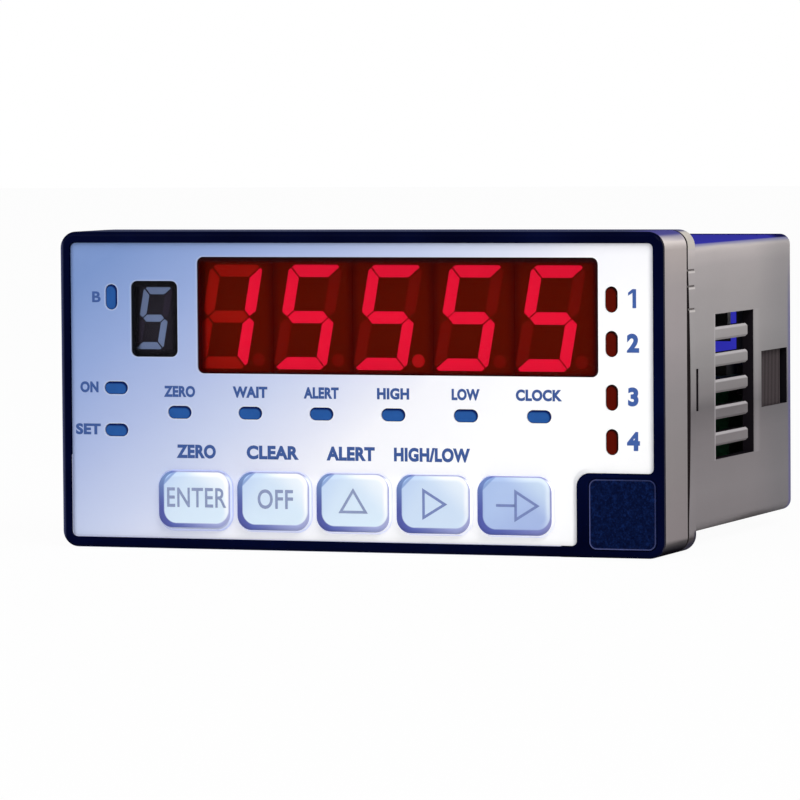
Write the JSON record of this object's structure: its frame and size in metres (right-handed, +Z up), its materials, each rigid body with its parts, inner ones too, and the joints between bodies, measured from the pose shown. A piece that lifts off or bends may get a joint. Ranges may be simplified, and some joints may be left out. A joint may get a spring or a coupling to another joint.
{
  "type": "digital panel meter",
  "caption": "Wide panel meter with a red digital display, status lights and a row of press keys on a shallow bezel, and a short vented case with screw terminals behind.",
  "frame": {"origin": "middle of the bezel's outline, in the plane of the flange's rear face, where the panel's front stops behind the gasket", "axes": "+X to the right seen from the front, +Y rearwards into the panel, +Z up"},
  "size_m": [0.096, 0.0835, 0.048],
  "materials": {
    "housing_grey": "fine satin",
    "gasket_dark": "matte",
    "bezel_navy": "glossy",
    "insert_navy": "finely speckled",
    "label_film": "satin film with a pale blue fade",
    "window_red": "clear dark red",
    "window_smoke": "clear smoke grey",
    "pipe_blue": "glossy, translucent",
    "pipe_red": "glossy, translucent",
    "key_ice": "glossy",
    "plunger_grey": "matte",
    "board_green": "satin",
    "digit_dark": "matte",
    "segment_red": "diffusing",
    "segment_grey": "diffusing",
    "led_white": "glossy",
    "screw_steel": "bright",
    "clamp_brass": "plain",
    "part_black": "matte",
    "core_ferrite": "matte",
    "bobbin_blue": "satin",
    "tape_grey": "satin",
    "can_aluminium": "sleeved",
    "terminal_green": "satin"
  },
  "bodies": {
    "meter": {"case": "housing_grey", "panel_gasket": "gasket_dark", "case_seal": "gasket_dark", "front_frame": "housing_grey", "fascia": "bezel_navy", "corner_insert": "insert_navy", "front_label": "label_film", "main_window": "window_red", "small_window": "window_smoke", "mode_light_bar": "pipe_blue", "function_light_bar": "pipe_blue", "output_light_bar": "pipe_red", "switch_1": "part_black", "switch_2": "part_black", "switch_3": "part_black", "switch_4": "part_black", "switch_5": "part_black", "display_board": "board_green", "digit_1": "digit_dark", "digit_2": "digit_dark", "digit_3": "digit_dark", "digit_4": "digit_dark", "digit_5": "digit_dark", "segments_1": "segment_red", "segments_2": "segment_red", "segments_3": "segment_red", "segments_4": "segment_red", "segments_5": "segment_red", "small_digit": "digit_dark", "small_segments": "segment_grey", "status_leds": "led_white", "board_screws": "screw_steel", "power_board": "board_green", "main_board": "board_green", "upper_link": "part_black", "lower_link": "part_black", "transformer_core": "core_ferrite", "transformer_bobbin": "bobbin_blue", "transformer_strip": "tape_grey", "capacitor_1": "can_aluminium", "capacitor_2": "can_aluminium", "relay_1": "part_black", "relay_2": "part_black", "relay_3": "part_black", "relay_4": "part_black", "processor": "part_black", "terminal_block_upper": "terminal_green", "terminal_block_lower": "terminal_green", "terminal_screws": "screw_steel", "terminal_clamps": "clamp_brass"},
    "key_1": {"key_1": "key_ice", "plunger_1": "plunger_grey"},
    "key_2": {"key_2": "key_ice", "plunger_2": "plunger_grey"},
    "key_3": {"key_3": "key_ice", "plunger_3": "plunger_grey"},
    "key_4": {"key_4": "key_ice", "plunger_4": "plunger_grey"},
    "key_5": {"key_5": "key_ice", "plunger_5": "plunger_grey"}
  },
  "joints": [
    {"name": "key_1_press", "type": "slide", "parent": "meter", "child": "key_1", "axis": [0, 1, 0], "range_m": [0, 0.0005], "stiffness_N_per_m": 1200, "springref_m": -0.0003},
    {"name": "key_2_press", "type": "slide", "parent": "meter", "child": "key_2", "axis": [0, 1, 0], "range_m": [0, 0.0005], "stiffness_N_per_m": 1200, "springref_m": -0.0003},
    {"name": "key_3_press", "type": "slide", "parent": "meter", "child": "key_3", "axis": [0, 1, 0], "range_m": [0, 0.0005], "stiffness_N_per_m": 1200, "springref_m": -0.0003},
    {"name": "key_4_press", "type": "slide", "parent": "meter", "child": "key_4", "axis": [0, 1, 0], "range_m": [0, 0.0005], "stiffness_N_per_m": 1200, "springref_m": -0.0003},
    {"name": "key_5_press", "type": "slide", "parent": "meter", "child": "key_5", "axis": [0, 1, 0], "range_m": [0, 0.0005], "stiffness_N_per_m": 1200, "springref_m": -0.0003}
  ]
}
